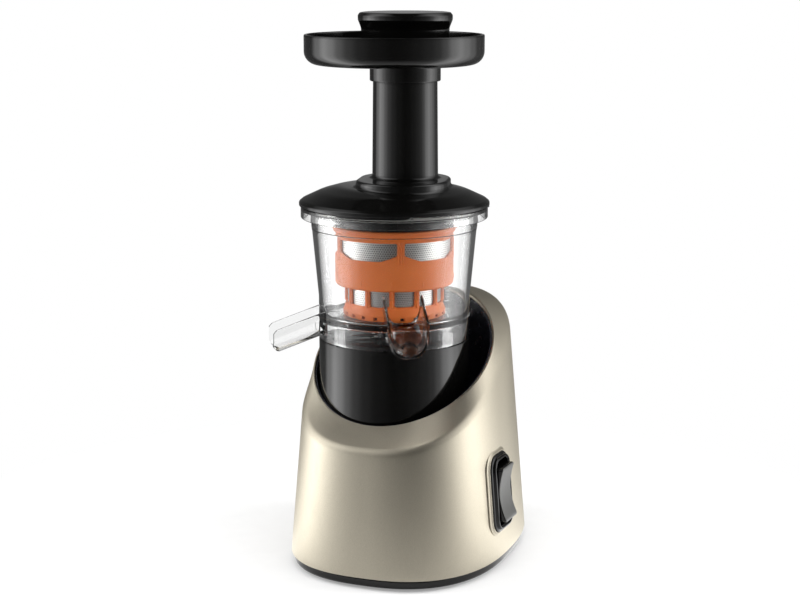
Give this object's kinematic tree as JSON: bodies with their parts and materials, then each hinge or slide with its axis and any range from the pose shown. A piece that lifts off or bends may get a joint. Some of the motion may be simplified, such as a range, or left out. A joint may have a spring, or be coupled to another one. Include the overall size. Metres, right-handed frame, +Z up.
{
  "type": "cold press juicer",
  "caption": "Upright slow juicer: motor base with sloped recess, clear bowl with two spouts, strainer and auger, lid with feed chute, tray and pusher.",
  "frame": {"origin": "on the table, under the middle of the part's bounding box", "axes": "+Z up, -Y the front with the juice spout, +X the side with the switch"},
  "size_m": [0.1942, 0.23, 0.435],
  "materials": {
    "metal": "satin champagne",
    "black_gloss": "polished",
    "black_matte": "fine grain",
    "rocker_grey": "satin",
    "rubber": "matte",
    "clear": "clear",
    "orange": "translucent satin",
    "steel": "satin",
    "silicone_red": "matte",
    "silicone_white": "matte",
    "auger_dark": "satin",
    "cast_alloy": "cast",
    "copper": "enamelled wire",
    "gear": "satin",
    "board": "satin"
  },
  "bodies": {
    "base": {"housing": "metal", "chassis": "black_matte", "recess_wall": "black_matte", "base_plate": "black_matte", "feet": "rubber", "base_screws": "steel", "drive_tower": "black_gloss", "tower_screws": "steel", "gearbox_base": "cast_alloy", "gearbox_cover": "cast_alloy", "gearbox_screws": "steel", "intermediate_pin": "steel", "output_bearings": "steel", "shaft_seal": "rubber", "motor_can": "steel", "motor_stator": "steel", "motor_windings": "copper", "motor_bracket": "cast_alloy", "motor_bearings": "steel", "motor_screws": "steel", "control_board": "board", "board_components": "black_matte", "switch_bezel": "black_gloss", "switch_body": "black_matte", "rocker_pin": "steel", "cord_gland": "rubber"},
    "rotor": {"motor_shaft": "steel", "motor_rotor": "steel", "cooling_fan": "black_matte", "motor_pinion": "steel"},
    "intermediate": {"intermediate_gear": "gear"},
    "output": {"output_gear": "gear", "output_shaft": "steel"},
    "rocker": {"switch_rocker": "rocker_grey"},
    "bowl": {"bowl": "clear", "bowl_seat": "clear", "bowl_rim": "clear", "bowl_floor": "clear", "bowl_hub": "clear", "juice_spout": "clear", "pulp_spout": "clear", "bowl_bush": "silicone_red", "pulp_plug": "silicone_red", "strainer_frame": "orange", "strainer_flange": "orange", "strainer_foot": "orange", "strainer_drum_upper": "steel", "strainer_drum_lower": "steel"},
    "auger": {"auger": "auger_dark", "auger_drive_socket": "steel"},
    "lid_seal": {"lid_seal": "silicone_white"},
    "lid": {"lid": "black_gloss", "lid_plate": "black_gloss", "lid_funnel": "black_gloss", "lid_ring": "black_gloss", "chute_plinth": "black_gloss", "feed_chute": "black_gloss"},
    "tray": {"feed_tray": "black_gloss"},
    "pusher": {"pusher_body": "black_gloss", "pusher_cap": "black_gloss"}
  },
  "joints": [
    {"name": "rotor_spin", "type": "hinge", "parent": "base", "child": "rotor", "pos_m": [-0.00602, -0.01902, 0.06], "axis": [0, 0, 1], "continuous": true},
    {"name": "intermediate_spin", "type": "hinge", "parent": "base", "child": "intermediate", "pos_m": [-0.00602, 0.00998, 0.12], "axis": [0, 0, 1], "continuous": true},
    {"name": "output_spin", "type": "hinge", "parent": "base", "child": "output", "pos_m": [-0.00602, -0.01902, 0.15], "axis": [0, 0, 1], "continuous": true},
    {"name": "auger_spin", "type": "hinge", "parent": "bowl", "child": "auger", "pos_m": [-0.00602, -0.01902, 0.21], "axis": [0, 0, 1], "continuous": true},
    {"name": "rocker_tilt", "type": "hinge", "parent": "base", "child": "rocker", "pos_m": [0.08106, -0.0253, 0.06168], "axis": [0.0553, 0.9985, 0], "range_deg": [-9, 9]},
    {"name": "bowl_lift", "type": "slide", "parent": "base", "child": "bowl", "axis": [0, 0, 1], "range_m": [0, 0.06]},
    {"name": "lid_lift", "type": "slide", "parent": "bowl", "child": "lid_seal", "axis": [0, 0, 1], "range_m": [0, 0.06]},
    {"name": "lid_turn", "type": "hinge", "parent": "lid_seal", "child": "lid", "pos_m": [-0.00602, -0.01902, 0.285], "axis": [0, 0, 1], "range_deg": [-35, 0]},
    {"name": "tray_lift", "type": "slide", "parent": "lid", "child": "tray", "axis": [0, 0, 1], "range_m": [0, 0.03]},
    {"name": "pusher_slide", "type": "slide", "parent": "tray", "child": "pusher", "axis": [0, 0, 1], "range_m": [0, 0.08]}
  ],
  "couplings": [
    {"joint": "rotor_spin", "follows": "auger_spin", "ratio": 23.04},
    {"joint": "intermediate_spin", "follows": "auger_spin", "ratio": -4.8},
    {"joint": "output_spin", "follows": "auger_spin", "ratio": 1}
  ]
}
